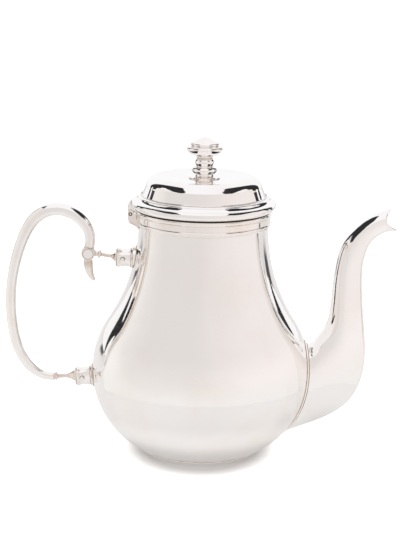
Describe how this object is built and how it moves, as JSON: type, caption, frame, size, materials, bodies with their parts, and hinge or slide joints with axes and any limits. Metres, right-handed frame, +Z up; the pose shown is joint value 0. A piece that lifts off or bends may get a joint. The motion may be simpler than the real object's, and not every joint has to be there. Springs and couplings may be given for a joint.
{
  "type": "coffee pot",
  "caption": "Pear-shaped polished silver coffee pot with a swan-neck spout, a C-shaped handle on turned sockets and a domed hinged lid with a turned finial.",
  "frame": {"origin": "on the table under the body's axis, at the middle of the foot", "axes": "+Z up, +X towards the spout, -X towards the handle, +Y to the left of someone looking along the spout"},
  "size_m": [0.2536, 0.1424, 0.2076],
  "materials": {
    "polished_silver": "bright hand-polished silver",
    "inner_silver": "satin silver, not burnished",
    "pin_silver": "turned silver",
    "insulator_ivory": "ivory-coloured heat break"
  },
  "bodies": {
    "pot": {"body_shell": "polished_silver", "base_plate": "inner_silver", "foot_ring": "polished_silver", "neck_band": "polished_silver", "spout": "polished_silver", "spout_collar": "polished_silver", "upper_socket": "polished_silver", "lower_socket": "polished_silver", "upper_socket_boss": "polished_silver", "lower_socket_boss": "polished_silver", "upper_insulator": "insulator_ivory", "lower_insulator": "insulator_ivory", "upper_socket_pin": "pin_silver", "lower_socket_pin": "pin_silver", "upper_arm": "polished_silver", "lower_arm": "polished_silver", "handle_bow": "polished_silver", "handle_roundel": "polished_silver", "handle_tail": "polished_silver", "hinge_pot_leaf": "polished_silver", "hinge_pin": "pin_silver"},
    "lid": {"lid_rim": "polished_silver", "lid_dome": "polished_silver", "lid_bezel": "inner_silver", "finial_collar": "polished_silver", "finial_knob": "polished_silver", "finial_stud": "pin_silver", "finial_washer": "pin_silver", "finial_nut": "pin_silver", "hinge_lid_leaf": "polished_silver"}
  },
  "joints": [
    {"name": "lid_hinge", "type": "hinge", "parent": "pot", "child": "lid", "pos_m": [-0.047, 0, 0.1573], "axis": [0, -1, 0], "range_deg": [0, 95]}
  ]
}
